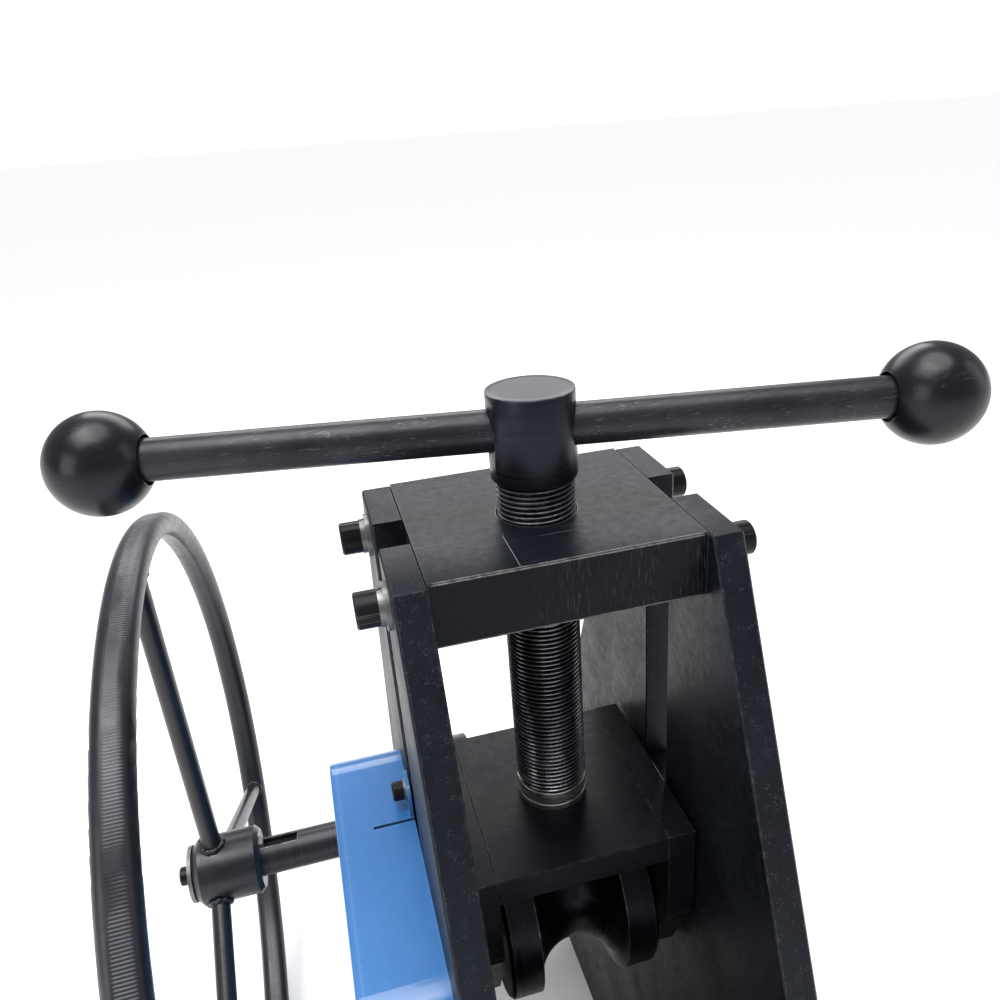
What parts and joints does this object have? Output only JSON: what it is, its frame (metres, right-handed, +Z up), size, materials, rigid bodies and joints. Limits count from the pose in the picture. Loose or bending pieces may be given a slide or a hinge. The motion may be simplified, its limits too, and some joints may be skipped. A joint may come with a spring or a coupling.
{
  "type": "three-roll tube bending press",
  "caption": "Bench-top three-roll bender for round tube: a tommy-bar screw feeds the upper roller down between A-shaped side plates, and a hand wheel turns the geared lower rollers.",
  "frame": {"origin": "on the bench, at the centre of the four mounting holes", "axes": "X across the machine with the hand wheel at -X, Y from front to back along the path of the tube, Z up along the press screw"},
  "size_m": [0.3502, 0.5064, 0.4916],
  "materials": {
    "black_oxide_steel": "satin black oxide",
    "machined_black_steel": "black oxide over turned or ground faces, worn bright at edges",
    "bright_steel": "zinc plated or bearing steel",
    "blue_paint": "gloss enamel",
    "wheel_steel": "semi-gloss black",
    "black_plastic": "satin moulded phenolic",
    "bronze": "turned bearing bronze",
    "gear_steel": "oiled cut steel"
  },
  "bodies": {
    "frame": {"side_plate_left": "black_oxide_steel", "side_plate_right": "black_oxide_steel", "angle_foot_left": "black_oxide_steel", "angle_foot_right": "black_oxide_steel", "top_block": "machined_black_steel", "tie_bar_front": "machined_black_steel", "tie_bar_rear": "machined_black_steel", "top_screws": "black_oxide_steel", "top_washers": "bright_steel", "top_lock_washers": "bright_steel", "tie_screws": "black_oxide_steel", "foot_screws": "black_oxide_steel", "shaft_bushes": "bronze", "idler_stud": "gear_steel", "cover_face": "blue_paint", "cover_skirt": "blue_paint", "cover_screws": "black_oxide_steel", "cover_washers": "bright_steel"},
    "carriage": {"carriage_plate": "machined_black_steel", "cheek_left": "machined_black_steel", "cheek_right": "machined_black_steel", "guide_key_left": "machined_black_steel", "guide_key_right": "machined_black_steel", "cheek_screws": "black_oxide_steel", "key_screws": "black_oxide_steel", "upper_axle": "bright_steel", "bearing_lower_race": "bright_steel", "bearing_balls": "bright_steel", "bearing_cage": "bright_steel"},
    "screw": {"press_screw": "machined_black_steel", "bearing_upper_race": "bright_steel", "retaining_washer": "bright_steel", "retaining_screw": "black_oxide_steel"},
    "tommy": {"tommy_bar": "machined_black_steel", "ball_knob_left": "black_plastic", "ball_knob_right": "black_plastic"},
    "pressing_roller": {"upper_roller": "machined_black_steel", "roller_bush_left": "bronze", "roller_bush_right": "bronze"},
    "hand_wheel": {"drive_shaft": "machined_black_steel", "rear_roller": "machined_black_steel", "rear_gear": "gear_steel", "rear_keys": "bright_steel", "rear_spacers": "machined_black_steel", "rear_clips": "bright_steel", "wheel_rim": "wheel_steel", "wheel_hub": "wheel_steel", "wheel_spokes": "wheel_steel", "wheel_key": "bright_steel", "hub_washer": "bright_steel", "hub_bolt": "black_oxide_steel"},
    "idler": {"idler_gear": "gear_steel", "idler_bush": "bronze"},
    "front_set": {"front_shaft": "machined_black_steel", "front_roller": "machined_black_steel", "front_gear": "gear_steel", "front_keys": "bright_steel", "front_spacers": "machined_black_steel", "front_clips": "bright_steel"}
  },
  "joints": [
    {"name": "carriage_lift", "type": "slide", "parent": "frame", "child": "carriage", "axis": [0, 0, 1], "range_m": [-0.012, 0.084]},
    {"name": "screw_turn", "type": "hinge", "parent": "carriage", "child": "screw", "pos_m": [0, 0, 0.44], "axis": [0, 0, 1], "range_deg": [-2160, 15120]},
    {"name": "bar_slide", "type": "slide", "parent": "screw", "child": "tommy", "axis": [0.981, -0.1942, 0], "range_m": [-0.113, 0.121]},
    {"name": "upper_roller_spin", "type": "hinge", "parent": "carriage", "child": "pressing_roller", "pos_m": [0, 0, 0.246], "axis": [1, 0, 0], "continuous": true},
    {"name": "wheel_turn", "type": "hinge", "parent": "frame", "child": "hand_wheel", "pos_m": [0, 0.098, 0.208], "axis": [1, 0, 0], "continuous": true},
    {"name": "idler_spin", "type": "hinge", "parent": "frame", "child": "idler", "pos_m": [0, 0, 0.18572], "axis": [1, 0, 0], "continuous": true},
    {"name": "front_roller_spin", "type": "hinge", "parent": "frame", "child": "front_set", "pos_m": [0, -0.098, 0.208], "axis": [1, 0, 0], "continuous": true}
  ],
  "couplings": [
    {"joint": "carriage_lift", "follows": "screw_turn", "m_per_rad": 0.00031831},
    {"joint": "idler_spin", "follows": "wheel_turn", "ratio": -0.42553},
    {"joint": "front_roller_spin", "follows": "wheel_turn", "ratio": 1}
  ]
}
